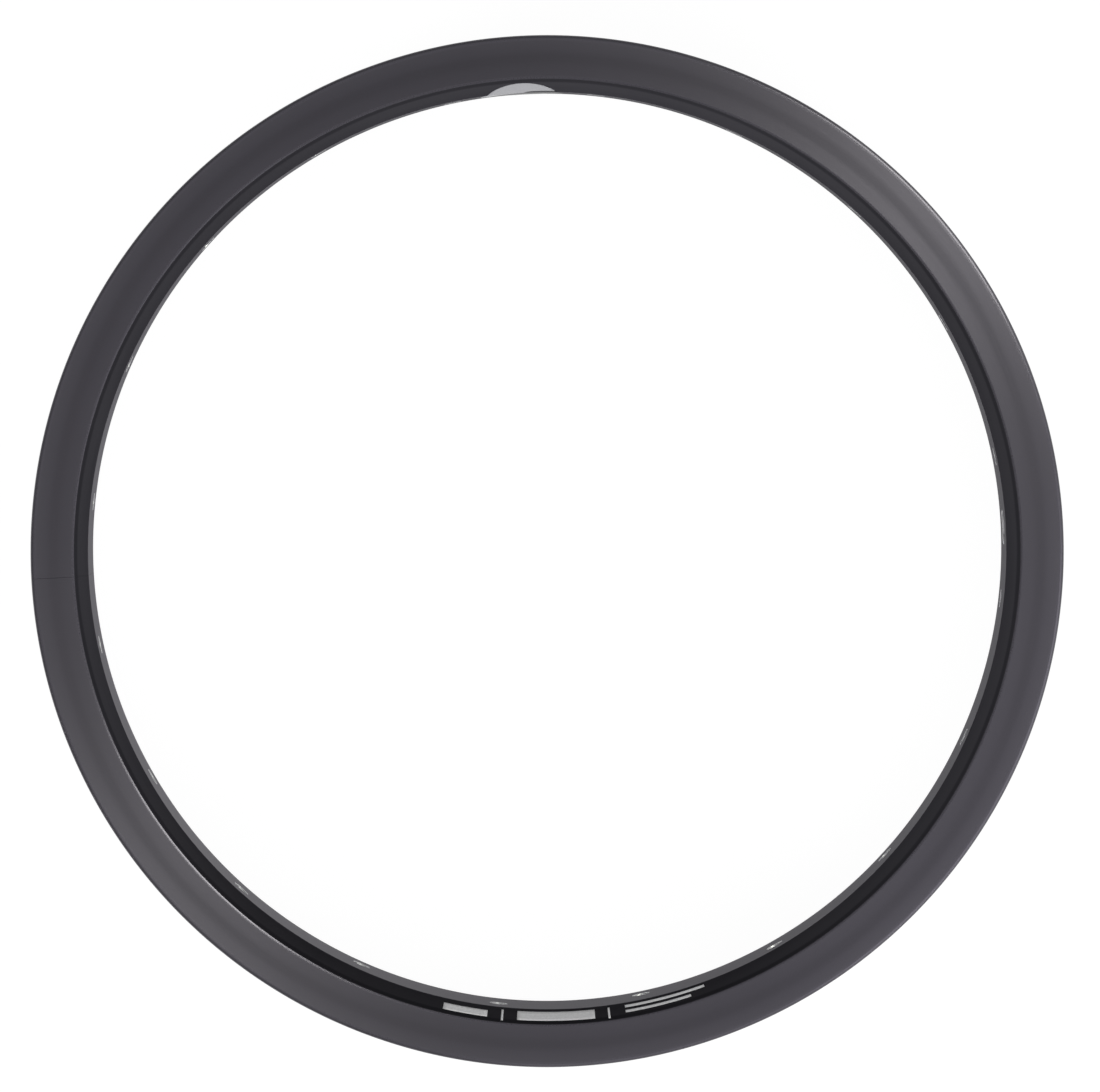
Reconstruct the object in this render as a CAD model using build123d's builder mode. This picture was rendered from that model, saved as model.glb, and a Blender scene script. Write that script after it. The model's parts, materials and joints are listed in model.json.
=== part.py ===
"""Small bicycle rim: a hooked double-wall hoop, rolled from one extrusion and closed over a hidden sleeve.

The rim lies flat on one side face. Its axle line is +Z, the valve hole is at +X and the butt joint at -X.
"""

import os
from math import cos, degrees, hypot, radians, sin

from build123d import *

# Tyre side, in millimetres
bead_seat_diameter = 251.0
inner_width = 25.0  # between the two hooks
flange_height = 6.0  # bead seat to rim edge
flange_wall = 1.8  # flange below its hook
hook_width = 3.0  # flange tip with its hook
hook_height = 2.2  # inner face of the hook
edge_chamfer = 0.7  # outer corner of each flange tip
bead_seat_width = 4.2
well_depth = 1.5  # below the bead seats
well_slope = 2.0  # axial run from bead seat to well floor

# Hollow section under the tyre side
upper_wall = 1.4
chamber_height = 3.5  # at the mid-plane
side_wall = 1.9
shoulder_wall = 1.8
bed_wall = 1.9
shoulder_rise = 3.45  # radial height of the sloped shoulder
shoulder_inset = 6.2  # axial width of the sloped shoulder; the spoke bed is what is left between them

# Drilled holes
spoke_count = 20
spoke_hole_diameter = 4.4
spoke_stagger = 2.0  # each hole's distance from the mid-plane, to alternate sides
access_hole_diameter = 9.0
valve_hole_diameter = 8.5

# Butt joint and its sleeve
seam_gap = 0.1
sleeve_length = 25.0  # along the bead seat circle
sleeve_clearance = 0.05
cut_margin = 2.0  # how far a cutting tool passes the metal

# Radii, and heights from the mid-plane, that follow from them
seat_radius = bead_seat_diameter / 2
edge_radius = seat_radius + flange_height
well_radius = seat_radius - well_depth
roof_side_radius = seat_radius - upper_wall
roof_radius = well_radius - upper_wall
floor_radius = roof_radius - chamber_height
bed_radius = floor_radius - bed_wall
shoulder_radius = bed_radius + shoulder_rise
rim_width = inner_width + 2 * hook_width
half_width = rim_width / 2
hook_face = inner_width / 2
hook_undercut = hook_width - flange_wall
flange_face = half_width - flange_wall
seat_edge = flange_face - bead_seat_width
well_edge = seat_edge - well_slope
chamber_side = half_width - side_wall
bed_half = half_width - shoulder_inset

# Inner face of the sloped shoulder, parallel to its outer face
shoulder_grade = shoulder_rise / shoulder_inset
shoulder_shift = shoulder_wall * hypot(shoulder_rise, shoulder_inset) / shoulder_inset
shoulder_inner_radius = bed_radius + shoulder_shift
chamber_low_corner = shoulder_inner_radius + (chamber_side - bed_half) * shoulder_grade
floor_half = bed_half + (floor_radius - shoulder_inner_radius) / shoulder_grade

# The section's local x runs outward from the axle and its local y along the axle
section_plane = Plane(origin=(0, 0, half_width), x_dir=(-1, 0, 0), z_dir=(0, 1, 0))


def radial_plane(angle, radius, height):
    """A plane that faces straight out from the axle, at this angle in degrees."""
    outward = (cos(radians(angle)), sin(radians(angle)), 0)
    return Plane(origin=(radius * outward[0], radius * outward[1], height), z_dir=outward)


# Hollow of the extrusion, which the sleeve fits as well
with BuildSketch() as chamber:
    with BuildLine():
        upper_half = Polyline(
            (floor_radius, 0),
            (floor_radius, floor_half),
            (chamber_low_corner, chamber_side),
            (roof_side_radius, chamber_side),
            (roof_radius, well_edge),
            (roof_radius, 0),
        )
        mirror(upper_half, about=Plane.XZ)
    make_face()

# Whole section of the extrusion
with BuildSketch() as profile:
    with BuildLine():
        upper_half = Polyline(
            (bed_radius, 0),
            (bed_radius, bed_half),
            (shoulder_radius, half_width),
            (edge_radius - edge_chamfer, half_width),
            (edge_radius, half_width - edge_chamfer),
            (edge_radius, hook_face),
            (edge_radius - hook_height, hook_face),
            (edge_radius - hook_height - hook_undercut, flange_face),
            (seat_radius, flange_face),
            (seat_radius, seat_edge),
            (well_radius, well_edge),
            (well_radius, 0),
        )
        mirror(upper_half, about=Plane.XZ)
    make_face()
    add(chamber.sketch, mode=Mode.SUBTRACT)

# Hoop: the rolled section, sawn through at the butt joint and drilled
with BuildPart() as rim_hoop:
    with BuildSketch(section_plane):
        add(profile.sketch)
    revolve(axis=Axis.Z)
    with Locations((-(bed_radius + edge_radius) / 2, 0, half_width)):
        Box(
            edge_radius - bed_radius + 2 * cut_margin,
            seam_gap,
            rim_width + 2 * cut_margin,
            mode=Mode.SUBTRACT,
        )
    drill_depth = seat_radius - bed_radius + cut_margin
    spoke_pitch = 360 / spoke_count
    for number in range(spoke_count):
        side = 1 if number % 2 == 0 else -1
        angle = (number + 0.5) * spoke_pitch
        with Locations(radial_plane(angle, seat_radius, half_width + side * spoke_stagger)):
            CounterBoreHole(
                radius=spoke_hole_diameter / 2,
                counter_bore_radius=access_hole_diameter / 2,
                counter_bore_depth=seat_radius - floor_radius - chamber_height / 2,
                depth=drill_depth,
            )
    with Locations(radial_plane(0, seat_radius, half_width)):
        Hole(radius=valve_hole_diameter / 2, depth=drill_depth)

# Sleeve: a short curved insert that bridges the butt joint inside the hollow
sleeve_angle = degrees(sleeve_length / seat_radius)
with BuildPart() as joint_sleeve:
    with BuildSketch(section_plane.rotated((0, 0, -sleeve_angle / 2))):
        offset(chamber.sketch, amount=-sleeve_clearance, kind=Kind.INTERSECTION)
    revolve(axis=Axis.Z, revolution_arc=sleeve_angle)

os.makedirs("parts", exist_ok=True)
rim_hoop.part.label = "rim_hoop"
joint_sleeve.part.label = "joint_sleeve"
export_step(rim_hoop.part, "parts/rim_hoop.step")
export_step(joint_sleeve.part, "parts/joint_sleeve.step")
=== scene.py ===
import json
from math import atan2, cos, degrees, pi, radians, sin, tan

import bmesh
import bpy
from mathutils import Matrix, Vector


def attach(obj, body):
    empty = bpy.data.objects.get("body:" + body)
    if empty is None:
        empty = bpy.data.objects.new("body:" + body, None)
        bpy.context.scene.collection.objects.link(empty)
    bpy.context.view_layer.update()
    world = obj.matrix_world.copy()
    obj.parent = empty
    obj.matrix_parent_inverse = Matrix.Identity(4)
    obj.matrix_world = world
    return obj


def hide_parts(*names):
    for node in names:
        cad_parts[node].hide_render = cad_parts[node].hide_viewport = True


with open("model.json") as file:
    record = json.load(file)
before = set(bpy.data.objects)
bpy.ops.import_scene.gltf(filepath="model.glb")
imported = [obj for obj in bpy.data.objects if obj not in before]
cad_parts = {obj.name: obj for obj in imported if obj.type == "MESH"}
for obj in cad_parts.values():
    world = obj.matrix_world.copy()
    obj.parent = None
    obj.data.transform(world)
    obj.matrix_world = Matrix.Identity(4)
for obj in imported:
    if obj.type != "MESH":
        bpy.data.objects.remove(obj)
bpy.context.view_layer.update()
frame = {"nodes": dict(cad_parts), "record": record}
scene = bpy.context.scene
scene.view_settings.view_transform = "Standard"

MM = 0.001

# Sizes of the rolled section, in millimetres, as the solids have them
seat_radius = 125.5
edge_radius = 131.5
well_radius = 124.0
roof_side_radius = 124.1
roof_radius = 122.6
floor_radius = 119.1
bed_radius = 117.2
shoulder_radius = 120.65
half_width = 15.5
hook_face = 12.5
hook_height = 2.2
hook_undercut = 1.2
flange_face = 13.7
seat_edge = 9.5
well_edge = 7.5
bed_half = 9.3
floor_half = 9.0
chamber_side = 13.6
chamber_low_corner = 121.65
access_hole_radius = 4.5
mid_height = half_width

# Rounding of the section's corners
edge_round = 1.0
hook_round = 0.7
flange_round = 0.8
well_round = 1.0
crown_round = 1.7
crown_drop = 0.16  # how far the side wall falls at its inner edge
crown_run = 0.38  # radial length of that fall
shoulder_round = 0.15
shoulder_set = 0.08  # how far the finished corner lies inside the sharp one
bed_round = 0.5
chamber_round = 0.5

# Fineness of the mesh
arc_steps = 6
chamber_steps = 2  # the hollow can't be seen
ring_segments = 480
hole_segments = 48
sharp_angle = radians(32)

# Cutters
cutter_reach = 1.2  # how far each one passes the metal
deburr = 0.04  # chamfer round each drilled hole
seam_gap = 0.04  # the butted ends nearly touch
seam_break = 0.015

SIDE, CONE, BARE = range(3)  # material slots of the hoop


def rounded(corners, steps):
    """A closed path through (x, y, radius, zone) corners, with an arc of some steps at each.

    The path holds (x, y, zone of the next run)."""
    path = []
    for i, (x, y, radius, zone) in enumerate(corners):
        here = Vector((x, y))
        before = (Vector(corners[i - 1][:2]) - here).normalized()
        after = (Vector(corners[(i + 1) % len(corners)][:2]) - here).normalized()
        half = before.angle(after) / 2
        centre = here + (before + after).normalized() * radius / sin(half)
        start = here + before * radius / tan(half) - centre
        end = here + after * radius / tan(half) - centre
        turn = atan2(start.x * end.y - start.y * end.x, start.dot(end))
        for step in range(steps + 1):
            arm = Matrix.Rotation(turn * step / steps, 2) @ start
            path.append((*(centre + arm), zone if step == steps else SIDE))
    return path


def ring(mesh, path):
    """Adds a ring with this closed section; anticlockwise paths face out and clockwise paths face in."""
    rows = []
    for j in range(ring_segments):
        angle = 2 * pi * j / ring_segments
        row = []
        for r, y, _ in path:
            point = (r * cos(angle) * MM, r * sin(angle) * MM, (mid_height + y) * MM)
            row.append(mesh.verts.new(point))
        rows.append(row)
    count = len(path)
    for j in range(ring_segments):
        a, b = rows[j], rows[(j + 1) % ring_segments]
        for i in range(count):
            k = (i + 1) % count
            face = mesh.faces.new((a[i], b[i], b[k], a[k]))
            face.material_index = path[i][2]


def drill(mesh, profile, place):
    """Adds a turned cutter: profile is (distance along the drill, radius), both in millimetres."""
    rows = []
    for along, radius in profile:
        row = []
        for k in range(hole_segments):
            angle = 2 * pi * k / hole_segments
            point = Vector((radius * cos(angle), radius * sin(angle), along)) * MM
            row.append(mesh.verts.new(place @ point))
        rows.append(row)
    faces = [mesh.faces.new(rows[0][::-1]), mesh.faces.new(rows[-1])]
    for a, b in zip(rows, rows[1:]):
        for k in range(hole_segments):
            n = (k + 1) % hole_segments
            faces.append(mesh.faces.new((a[k], a[n], b[n], b[k])))
    for face in faces:
        face.material_index = BARE


def to_object(mesh, name):
    """Turns a finished mesh into an object of the scene."""
    data = bpy.data.meshes.new(name)
    mesh.to_mesh(data)
    mesh.free()
    obj = bpy.data.objects.new(name, data)
    scene.collection.objects.link(obj)
    return obj


# Section of the hoop, from the spoke bed over one flange to the tyre well; the other half mirrors it
corner_radius = shoulder_radius - shoulder_set
cone_slope = atan2(corner_radius - bed_radius, half_width - bed_half)
crown_radius = corner_radius - crown_drop * tan(cone_slope)
half_section = [
    (bed_radius, bed_half, bed_round, CONE),
    (crown_radius, half_width - crown_drop, shoulder_round, SIDE),
    (crown_radius + crown_run, half_width, crown_round, SIDE),
    (edge_radius, half_width, edge_round, SIDE),
    (edge_radius, hook_face, hook_round, SIDE),
    (edge_radius - hook_height, hook_face, hook_round, SIDE),
    (edge_radius - hook_height - hook_undercut, flange_face, flange_round, SIDE),
    (seat_radius, flange_face, flange_round, SIDE),
    (seat_radius, seat_edge, well_round, SIDE),
    (well_radius, well_edge, well_round, SIDE),
]
half_chamber = [
    (floor_radius, floor_half, chamber_round, SIDE),
    (chamber_low_corner, chamber_side, chamber_round, SIDE),
    (roof_side_radius, chamber_side, chamber_round, SIDE),
    (roof_radius, well_edge, chamber_round, SIDE),
]


def mirrored(half):
    """The anticlockwise loop of a half section and its mirror image.

    A run's zone is stored at its first corner."""
    lower = [(r, -y, radius) for r, y, radius, _ in half]
    upper = [(r, y, radius) for r, y, radius, _ in half[::-1]]
    lower_zones = [zone for *_, zone in half]
    upper_zones = [zone for *_, zone in half[:-1]][::-1] + [SIDE]
    return [(*corner, zone) for corner, zone in zip(lower + upper, lower_zones + upper_zones)]


hoop_mesh = bmesh.new()
ring(hoop_mesh, rounded(mirrored(half_section), arc_steps))
ring(hoop_mesh, rounded(mirrored(half_chamber)[::-1], chamber_steps))
hoop = to_object(hoop_mesh, "anodised_hoop")

# Drilled holes, each where the record has its bore
cutter_mesh = bmesh.new()
chamber_middle = (floor_radius + roof_radius) / 2
for mount in frame["record"]["mounts"]:
    if mount["kind"] != "bore":
        continue
    radius = mount["dims"]["r_mm"]
    outward = Vector(mount["axis"])
    foot = Vector((0, 0, mount["pos_m"][2]))
    place = Matrix.Translation(foot) @ outward.to_track_quat("Z", "Y").to_matrix().to_4x4()
    profile = [
        (bed_radius - cutter_reach, radius + deburr + cutter_reach),
        (bed_radius + deburr, radius),
    ]
    top = radius
    if mount["name"].startswith("spoke"):
        top = access_hole_radius
        profile += [(chamber_middle, radius), (chamber_middle, top)]
    profile += [
        (well_radius - deburr, top),
        (well_radius + cutter_reach, top + deburr + cutter_reach),
    ]
    drill(cutter_mesh, profile, place)

# Saw cut of the butt joint, opposite the valve hole, with its edges just broken at both side faces
saw_inside = -(bed_radius - cutter_reach)
saw_outside = -(edge_radius + cutter_reach)
half_gap = seam_gap / 2
saw_levels = [
    (-cutter_reach, half_gap + seam_break + cutter_reach),
    (seam_break, half_gap),
    (2 * half_width - seam_break, half_gap),
    (2 * half_width + cutter_reach, half_gap + seam_break + cutter_reach),
]
saw_rows = []
for height, half in saw_levels:
    corners = [(saw_outside, -half), (saw_inside, -half), (saw_inside, half), (saw_outside, half)]
    saw_rows.append([cutter_mesh.verts.new(Vector((x, y, height)) * MM) for x, y in corners])
saw_faces = [cutter_mesh.faces.new(saw_rows[0][::-1]), cutter_mesh.faces.new(saw_rows[-1])]
for a, b in zip(saw_rows, saw_rows[1:]):
    for k in range(4):
        saw_faces.append(cutter_mesh.faces.new((a[k], a[k - 3], b[k - 3], b[k])))
for face in saw_faces:
    face.material_index = SIDE
bmesh.ops.recalc_face_normals(cutter_mesh, faces=cutter_mesh.faces)
cutter = to_object(cutter_mesh, "cutter")

# Noise scales of the finishes, in cells for each metre
streak_across = 5000
streak_along = 6  # cells for each radian round the rim
grain_scale = 4200
cloud_scale = 45
tool_mark_scale = 3000
ink_grain_scale = 1800

# Bands round the rim, in millimetres: radius, half width of the full part, half width with its fade, amount
web_mark_radius = 125.6  # where the upper wall meets the side wall inside
shoulder_edge_radius = 120.75
corner_shade_radius = 120.05
# where the painted shade line lies, along the corner of the sloped face
flange_edge_radius = 131.0
# Colour bands: painted sheen lightens the side wall towards its inner and outer edges, painted shade darkens
# a line at the corner of the sloped face
painted_light_bands = [
    # painted sheen towards the side wall's inner edge, over the corner
    (shoulder_edge_radius, 0.3, 3.0, 0.25),
    # painted shade along the corner of the sloped face
    (corner_shade_radius, 0.2, 0.6, -0.45),
    # painted sheen towards the side wall's outer edge
    (flange_edge_radius, 0.5, 4.5, 0.5),
]
roughness_bands = [
    (web_mark_radius, 0.6, 2.0, 0.07),
    (shoulder_edge_radius, 0.2, 0.4, -0.22),
    (flange_edge_radius, 0.7, 1.0, -0.2),
]


class Nodes:
    """A small helper that adds nodes to one material and links them."""

    def __init__(self, name):
        self.material = bpy.data.materials.new(name)
        self.material.use_nodes = True
        self.tree = self.material.node_tree
        self.shader = self.tree.nodes["Principled BSDF"]

    def add(self, kind, inputs=None, **settings):
        node = self.tree.nodes.new(kind)
        for key, value in settings.items():
            setattr(node, key, value)
        for key, value in (inputs or {}).items():
            self.put(node.inputs[key], value)
        return node

    def put(self, socket, value):
        if isinstance(value, bpy.types.NodeSocket):
            self.tree.links.new(value, socket)
        else:
            socket.default_value = value

    def shade(self, **inputs):
        """Sets or links inputs of the main shader, with _ for a blank in their names."""
        for key, value in inputs.items():
            self.put(self.shader.inputs[key.replace("_", " ")], value)

    def place(self):
        return self.add("ShaderNodeTexCoord").outputs["Object"]

    def math(self, operation, a, b=0.0):
        return self.add("ShaderNodeMath", {0: a, 1: b}, operation=operation).outputs[0]

    def blend(self, a, share_a, b, share_b):
        return self.math("ADD", self.math("MULTIPLY", a, share_a), self.math("MULTIPLY", b, share_b))

    def noise(self, vector, scale, detail):
        inputs = {"Vector": vector, "Scale": scale, "Detail": detail}
        return self.add("ShaderNodeTexNoise", inputs).outputs["Fac"]

    def remap(self, value, low, high, to_low, to_high):
        inputs = {"Value": value, "From Min": low, "From Max": high, "To Min": to_low, "To Max": to_high}
        return self.add("ShaderNodeMapRange", inputs).outputs["Result"]

    def ramp(self, value, stops):
        node = self.add("ShaderNodeValToRGB", {"Fac": value})
        elements = node.color_ramp.elements
        while len(elements) < len(stops):
            elements.new(0.5)
        for element, (position, colour) in zip(elements, stops):
            element.position = position
            element.color = (*colour, 1)
        return node.outputs["Color"]

    def bump(self, height, strength, depth):
        """A bump of this depth in millimetres."""
        inputs = {"Height": height, "Strength": strength, "Distance": depth * MM}
        return self.add("ShaderNodeBump", inputs).outputs["Normal"]

    def polar(self, across, along):
        """Coordinates that stretch a noise along the rim, and the radius."""
        split = self.add("ShaderNodeSeparateXYZ", {0: self.place()}).outputs
        flat = self.add("ShaderNodeCombineXYZ", {0: split[0], 1: split[1]}).outputs[0]
        radius = self.add("ShaderNodeVectorMath", {0: flat}, operation="LENGTH").outputs["Value"]
        depth = self.blend(radius, across, split[2], across)
        turn_x = self.math("MULTIPLY", self.math("DIVIDE", split[0], radius), along)
        turn_y = self.math("MULTIPLY", self.math("DIVIDE", split[1], radius), along)
        return self.add("ShaderNodeCombineXYZ", {0: depth, 1: turn_x, 2: turn_y}).outputs[0], radius


def anodised(name, tones, tint, ior, roughness, anisotropy):
    """Black anodising over drawn metal: faint streaks along the rim, fine grain and slight colour drift.

    The wall inside leaves a duller band on the side wall and the rounded edges are burnished smoother.
    Painted sheen makes the side wall a little lighter towards its inner and outer edges, and a darker line
    of painted shade follows the corner of the sloped face."""
    n = Nodes(name)
    streak_place, radius = n.polar(streak_across, streak_along)

    def band(centre, full, fade, amount):
        distance = n.math("ABSOLUTE", n.math("SUBTRACT", radius, centre * MM))
        return n.remap(distance, full * MM, fade * MM, amount, 0.0)

    streak = n.noise(streak_place, 1.0, 4.0)
    place = n.place()
    grain = n.noise(place, grain_scale, 2.0)
    cloud = n.noise(place, cloud_scale, 2.0)
    tone = n.blend(streak, 0.3, cloud, 0.2)
    # painted sheen and painted shade, in bands round the rim
    for painted_light_band in painted_light_bands:
        tone = n.math("ADD", tone, band(*painted_light_band))
    texture = n.blend(streak, 0.5, grain, 0.5)
    rough = n.remap(texture, 0.3, 0.7, roughness - 0.05, roughness + 0.05)
    for roughness_band in roughness_bands:
        rough = n.math("ADD", rough, band(*roughness_band))
    tangent = n.add("ShaderNodeTangent", direction_type="RADIAL", axis="Z").outputs["Tangent"]
    n.shade(Base_Color=n.ramp(tone, tones), Roughness=rough, Normal=n.bump(texture, 0.12, 0.04))
    n.shade(Specular_Tint=(*tint, 1), IOR=ior)
    n.shade(Anisotropic=anisotropy, Anisotropic_Rotation=0.25, Tangent=tangent)
    return n.material


def bare_aluminium():
    """Freshly cut metal, with fine tool marks."""
    n = Nodes("bare_aluminium")
    marks = n.noise(n.place(), tool_mark_scale, 3.0)
    colour = n.ramp(marks, [(0.3, (0.62, 0.62, 0.64)), (0.7, (0.84, 0.84, 0.85))])
    rough = n.remap(marks, 0.3, 0.7, 0.30, 0.47)
    n.shade(Base_Color=colour, Roughness=rough, Normal=n.bump(marks, 0.2, 0.05), Metallic=1.0)
    return n.material


def printed(name, colour, roughness):
    """Flat ink or vinyl with a fine, slightly uneven surface."""
    n = Nodes(name)
    grain = n.noise(n.place(), ink_grain_scale, 4.0)
    darker = tuple(0.9 * c for c in colour)
    rough = n.remap(grain, 0.3, 0.7, roughness - 0.06, roughness + 0.06)
    shade = n.ramp(grain, [(0.35, darker), (0.65, colour)])
    n.shade(Base_Color=shade, Roughness=rough, Normal=n.bump(grain, 0.15, 0.03))
    return n.material


# Colours of the finishes
spec_tint = (0.90, 0.85, 1.0)
side_tones = [
    (0.15, (0.0055, 0.0052, 0.0066)),
    (0.35, (0.0088, 0.0084, 0.0104)),
    (0.85, (0.0200, 0.0192, 0.0220)),
]
cone_tones = [
    (0.03, (0.0190, 0.0184, 0.0215)),
    (0.15, (0.0235, 0.0228, 0.0266)),
    (0.35, (0.0305, 0.0295, 0.0338)),
]
side_finish = anodised("black_anodised", side_tones, spec_tint, ior=1.73, roughness=0.5, anisotropy=0.86)
cone_finish = anodised("black_anodised_matt", cone_tones, spec_tint, ior=1.03, roughness=0.6, anisotropy=0.2)
bare_finish = bare_aluminium()
print_finish = printed("white_print", (0.88, 0.88, 0.89), roughness=0.5)
label_finish = printed("label_vinyl", (0.25, 0.25, 0.264), roughness=0.4)
# dark part of the round label, over the spoke bed and the foot of the sloped face
field_finish = printed("label_dark_part", (0.018, 0.018, 0.021), roughness=0.45)

for finish in (side_finish, cone_finish, bare_finish):
    hoop.data.materials.append(finish)
    cutter.data.materials.append(finish)

# One cut with all the tools, kept as a plain mesh
cut = hoop.modifiers.new("drilling", "BOOLEAN")
cut.object = cutter
cut.operation = "DIFFERENCE"
cut.solver = "EXACT"
cut.material_mode = "TRANSFER"
drilled = bpy.data.meshes.new_from_object(hoop.evaluated_get(bpy.context.evaluated_depsgraph_get()))
hoop.modifiers.clear()
hoop.data = drilled
bpy.data.objects.remove(cutter)
drilled.shade_smooth()
drilled.set_sharp_from_angle(angle=sharp_angle)
weighted = hoop.modifiers.new("weighted_normals", "WEIGHTED_NORMAL")
weighted.keep_sharp = True
weighted.weight = 100

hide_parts("rim_hoop")
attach(hoop, "root")

sleeve = frame["nodes"]["joint_sleeve"]
sleeve.data.materials.clear()
sleeve.data.materials.append(bare_finish)

# Skins on the sloped face and the spoke bed: a plain white print and a round label
skin_lift = 0.05
skin_thickness = 0.07
corner_blend = 0.2  # how far each side of the bed's edge a skin bends
weld_distance = 0.001


def inner_face(angle, along, lift):
    """A point over the upper cone and spoke bed.

    The distance along runs up the cone from the bed's edge, or back over the bed where it is negative."""
    up_cone = max(along, 0)
    tilt = cone_slope * min(max(along / corner_blend + 1, 0), 2) / 2
    r = bed_radius + up_cone * sin(cone_slope) - lift * cos(tilt)
    y = bed_half + min(along, 0) + up_cone * cos(cone_slope) + lift * sin(tilt)
    turn = radians(angle)
    return Vector((r * cos(turn), r * sin(turn), mid_height + y)) * MM


def skin(name, patches, lift, finish):
    """A thin skin; each patch is rows of (angle, distance along), from the bed up the cone."""
    mesh = bmesh.new()
    for rows in patches:
        grid = [[mesh.verts.new(inner_face(angle, along, lift)) for angle, along in row] for row in rows]
        for a, b in zip(grid, grid[1:]):
            for k in range(len(a) - 1):
                mesh.faces.new((a[k], b[k], b[k + 1], a[k + 1]))
    bmesh.ops.remove_doubles(mesh, verts=mesh.verts, dist=weld_distance * MM)
    obj = to_object(mesh, name)
    solid = obj.modifiers.new("thickness", "SOLIDIFY")
    solid.thickness = skin_thickness * MM
    solid.offset = -1
    obj.data.materials.append(finish)
    obj.data.shade_smooth()
    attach(obj, "root")


# Print: blocks as start and end in degrees from its middle, then low and high edge up the cone
print_angle = -89.2
tick_low, tick_high = 1.2, 5.9
tick_width = 0.26  # in degrees
column_width = 0.5  # in degrees
bar_steps = 4
print_blocks = [
    (-16.6, -11.1, 2.2, 5.0),
    (-7.4, 2.2, 1.3, 5.2),
    (6.0, 16.2, 1.2, 2.2),
    (6.0, 14.3, 3.4, 4.4),
]
for tick in (-9.25, 3.95):
    print_blocks.append((tick - tick_width / 2, tick + tick_width / 2, tick_low, tick_high))


def bar(start, end, low, high):
    """Rows of one block of the print."""
    columns = max(int(abs(end - start) / column_width), 2)
    angles = [print_angle + start + (end - start) * k / columns for k in range(columns + 1)]
    heights = [low + (high - low) * step / bar_steps for step in range(bar_steps + 1)]
    return [[(angle, height) for angle in angles] for height in heights]


skin("white_print", [bar(*block) for block in print_blocks], skin_lift, print_finish)

# Label: a round skin over the bed's edge with a dark field, in millimetres along and across
label_angle = 90.25
label_radius = 10.65
label_middle = -5.85  # behind the bed's edge
label_columns = 20
field_high = 0.7
field_crest = 3.2  # to the right of the label's middle
field_bend = 0.09
field_rise = 12.0  # from the crest to the curve's left end
field_curve_steps = 24
field_lift = skin_lift + 0.03
field_margin = 0.02  # past the label's edge


def label_patch(steps, left_side, margin):
    """Rows across the round label at these distances; left_side gives where each row starts."""
    rows = []
    for along in steps:
        half = max(label_radius**2 - (along - label_middle) ** 2, 0) ** 0.5 + margin
        start = max(left_side(along), -half)
        row = []
        for k in range(label_columns + 1):
            across = half + (start - half) * k / label_columns
            row.append((label_angle - degrees(across / bed_radius), along))
        rows.append(row)
    return rows


def label_side(along):
    """Left end of the whole label, which its outline cuts off at every row."""
    return -label_radius


def field_side(along):
    """Left end of the dark field, whose upper left edge is a curve that levels off at its crest."""
    return field_crest - ((field_high - along) / field_bend) ** 0.5


corner_steps = [corner_blend * k / 2 for k in range(-2, 3)]
round_steps = [label_middle + label_radius * sin(radians(turn)) for turn in range(-90, 91, 5)]
curve_runs = [field_rise * k / field_curve_steps for k in range(field_curve_steps + 1)]
curve_steps = [field_high - field_bend * run**2 for run in curve_runs]
lower_steps = [step for step in round_steps[1:] if step < curve_steps[-1]]
label_rows = label_patch(sorted(round_steps + corner_steps), label_side, 0)
field_rows = label_patch(sorted(lower_steps + curve_steps + corner_steps), field_side, field_margin)
skin("round_label", [label_rows], skin_lift, label_finish)
skin("label_field", [field_rows], field_lift, field_finish)

# Camera: almost straight down the axle, a little towards the top of the picture
view_roll = radians(-2.9)
near_face = Vector((0, 0, 2 * half_width * MM))
picture_right = Vector((cos(view_roll), sin(view_roll), 0))
picture_up = Vector((-sin(view_roll), cos(view_roll), 0))
camera_height = 1660 * MM
camera_rise = 77 * MM
aim_right = 0.72 * MM
aim_up = 1.82 * MM
camera_data = bpy.data.cameras.new("camera")
camera_data.sensor_width = 36
camera_data.lens = 213.8
camera = bpy.data.objects.new("camera", camera_data)
scene.collection.objects.link(camera)
camera.location = near_face + picture_up * camera_rise + Vector((0, 0, camera_height))
aim = near_face + picture_right * aim_right + picture_up * aim_up
back = (camera.location - aim).normalized()
right = picture_up.cross(back).normalized()
up = back.cross(right)
camera.rotation_mode = "QUATERNION"
camera.rotation_quaternion = Matrix((right, up, back)).transposed().to_quaternion()
scene.camera = camera

# Floor: white to the camera and in reflections, plain pale to the light
floor_size = 20  # in metres
floor_grey = (0.5, 0.5, 0.5, 1)
floor_glow = 1.13
glow_share = 0.85
floor_mesh = bmesh.new()
bmesh.ops.create_grid(floor_mesh, x_segments=1, y_segments=1, size=floor_size)
floor = to_object(floor_mesh, "floor")
f = Nodes("floor_white")
f.tree.nodes.remove(f.shader)
path = f.add("ShaderNodeLightPath").outputs
mirrored_ray = f.math("MAXIMUM", path["Is Glossy Ray"], path["Is Transmission Ray"])
seen = f.math("MAXIMUM", path["Is Camera Ray"], mirrored_ray)
paper = f.add("ShaderNodeBsdfDiffuse", {"Color": floor_grey}).outputs[0]
glow = f.add("ShaderNodeEmission", {"Color": (1, 1, 1, 1), "Strength": floor_glow}).outputs[0]
mix = f.add("ShaderNodeMixShader", {0: f.math("MULTIPLY", seen, glow_share), 1: paper, 2: glow}).outputs[0]
f.put(f.tree.nodes["Material Output"].inputs["Surface"], mix)
floor.data.materials.append(f.material)

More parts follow.
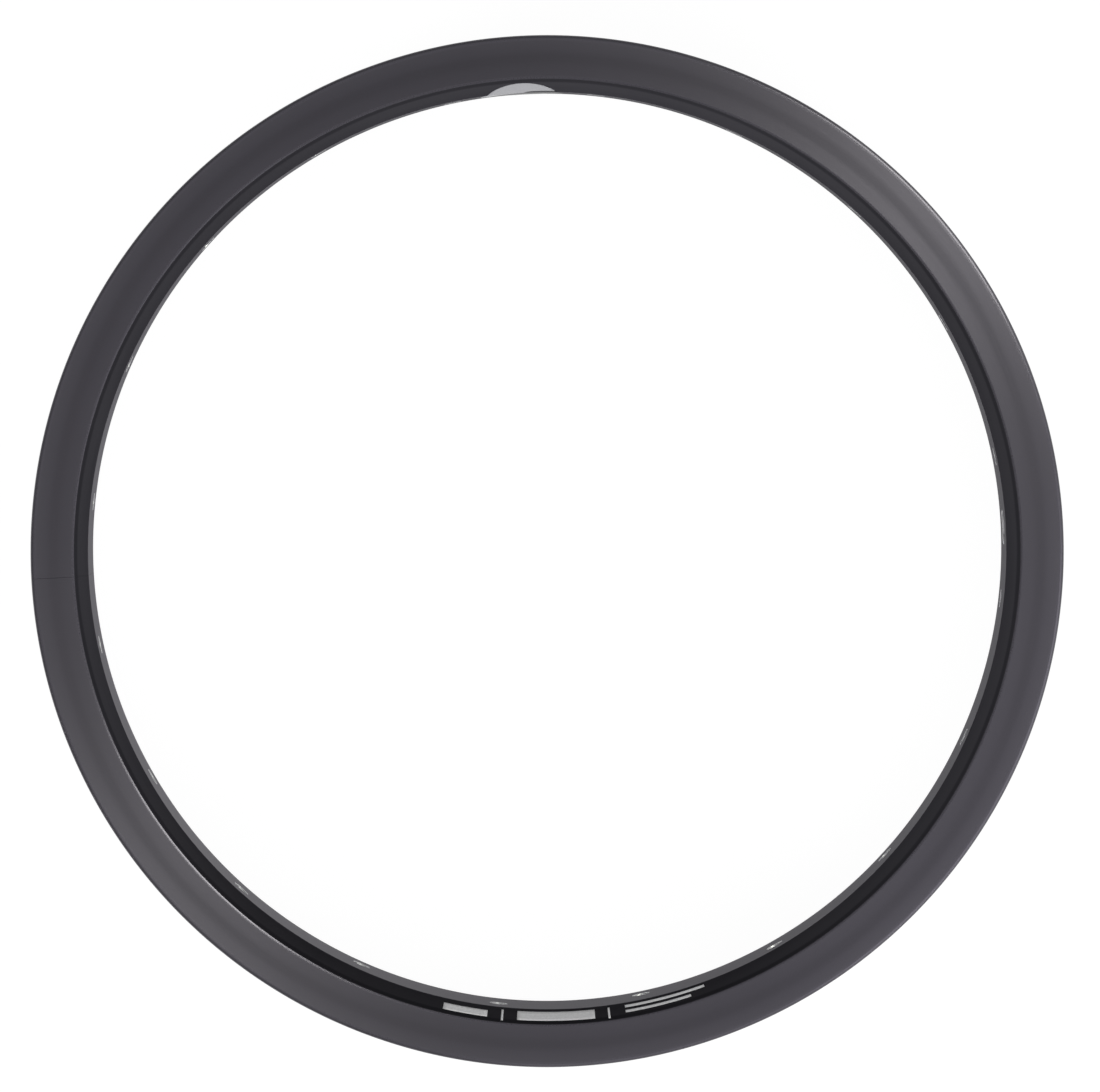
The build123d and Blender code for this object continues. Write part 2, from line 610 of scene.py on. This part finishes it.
# Room: bright overhead, dim towards the right wall and dark to the left
left_wall, right_wall = 0.03, 0.30
overhead = 0.82
wall_top, overhead_start = 0.35, 0.95  # heights between which the walls brighten
world = bpy.data.worlds.new("world")
world.use_nodes = True
sky = world.node_tree
sky_place = sky.nodes.new("ShaderNodeTexCoord")
sky_split = sky.nodes.new("ShaderNodeSeparateXYZ")
sky.links.new(sky_place.outputs["Generated"], sky_split.inputs[0])
sky_walls = sky.nodes.new("ShaderNodeMapRange")
for socket, value in {"From Min": -1, "From Max": 1, "To Min": left_wall, "To Max": right_wall}.items():
    sky_walls.inputs[socket].default_value = value
sky.links.new(sky_split.outputs["X"], sky_walls.inputs["Value"])
sky_level = sky.nodes.new("ShaderNodeMapRange")
sky_level.interpolation_type = "SMOOTHSTEP"
for socket, value in {"From Min": wall_top, "From Max": overhead_start, "To Max": overhead}.items():
    sky_level.inputs[socket].default_value = value
sky.links.new(sky_split.outputs["Z"], sky_level.inputs["Value"])
sky.links.new(sky_walls.outputs["Result"], sky_level.inputs["To Min"])
sky.links.new(sky_level.outputs["Result"], sky.nodes["Background"].inputs["Strength"])
sky.nodes["Background"].inputs["Color"].default_value = (1, 1, 1, 1)
scene.world = world


def lamp(name, azimuth, elevation, distance, width, length, power):
    """An area lamp that faces the rim, with sizes in metres and its length towards the top.

    The azimuth is from +X, as seen from above."""
    data = bpy.data.lights.new(name, "AREA")
    data.shape = "RECTANGLE"
    data.size = width
    data.size_y = length
    data.energy = power
    obj = bpy.data.objects.new(name, data)
    scene.collection.objects.link(obj)
    a, e = radians(azimuth), radians(elevation)
    towards = Vector((cos(a) * cos(e), sin(a) * cos(e), sin(e)))
    obj.location = Vector((0, 0, mid_height * MM)) + towards * distance
    obj.rotation_mode = "QUATERNION"
    obj.rotation_quaternion = towards.to_track_quat("Z", "Y")
    return obj


# Lamps: a key and small near panels for the sheen, a soft side lamp and low lamps for the sloped face
key = lamp("key", azimuth=36, elevation=55, distance=2.0, width=0.6, length=1.2, power=25.0)
key.visible_diffuse = False
key.data.color = (0.98, 1.0, 0.88)
lamp("side", azimuth=-35, elevation=35, distance=0.6, width=0.5, length=0.5, power=0.9)
for near_azimuth in (15, -30, -75):
    near = lamp("near", near_azimuth, elevation=30, distance=0.33, width=0.25, length=0.25, power=0.15)
    near.visible_diffuse = False
    near.visible_camera = False
for low_azimuth in (-50, -156):
    low = lamp("low", low_azimuth, elevation=12, distance=1.2, width=0.4, length=0.3, power=13.5)
    low.visible_glossy = False
